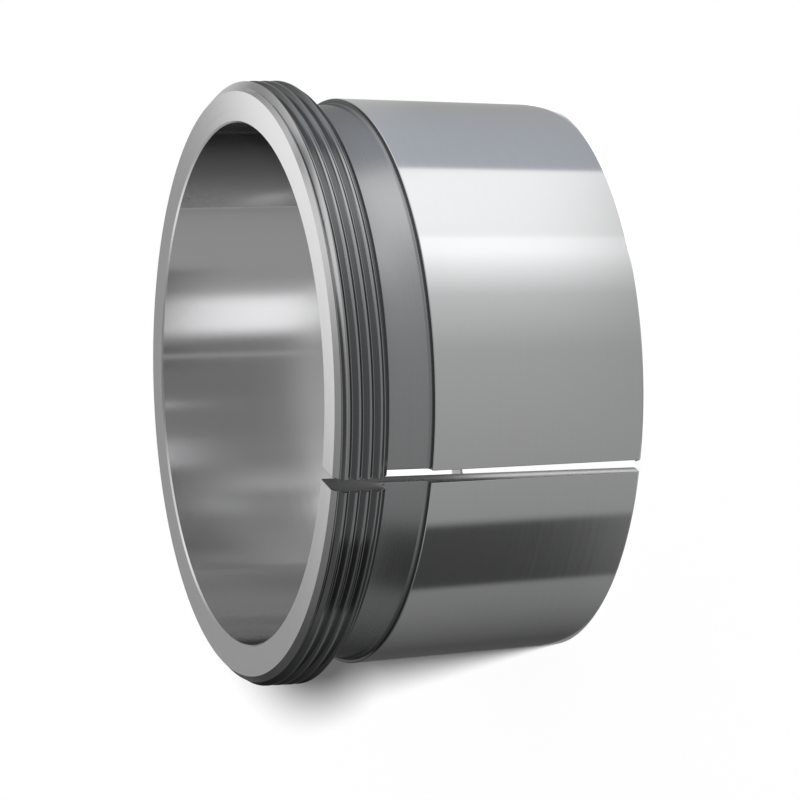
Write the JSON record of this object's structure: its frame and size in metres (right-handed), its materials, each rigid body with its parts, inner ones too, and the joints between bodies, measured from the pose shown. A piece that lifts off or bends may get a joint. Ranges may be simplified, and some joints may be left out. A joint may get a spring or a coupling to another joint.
{
  "type": "withdrawal sleeve",
  "caption": "Slit steel withdrawal sleeve with a straight bore, a tapered outer seat that narrows to the plain end, a relief neck and a threaded collar at the thick end.",
  "frame": {"origin": "centre of the plain small end's face, which the sleeve stands on", "axes": "+Z along the bore axis, from the plain small end to the threaded collar; the slit faces -Y"},
  "size_m": [0.11, 0.11, 0.059],
  "materials": {
    "steel": "ground"
  },
  "bodies": {
    "root": {"withdrawal_sleeve": "steel"}
  },
  "joints": []
}
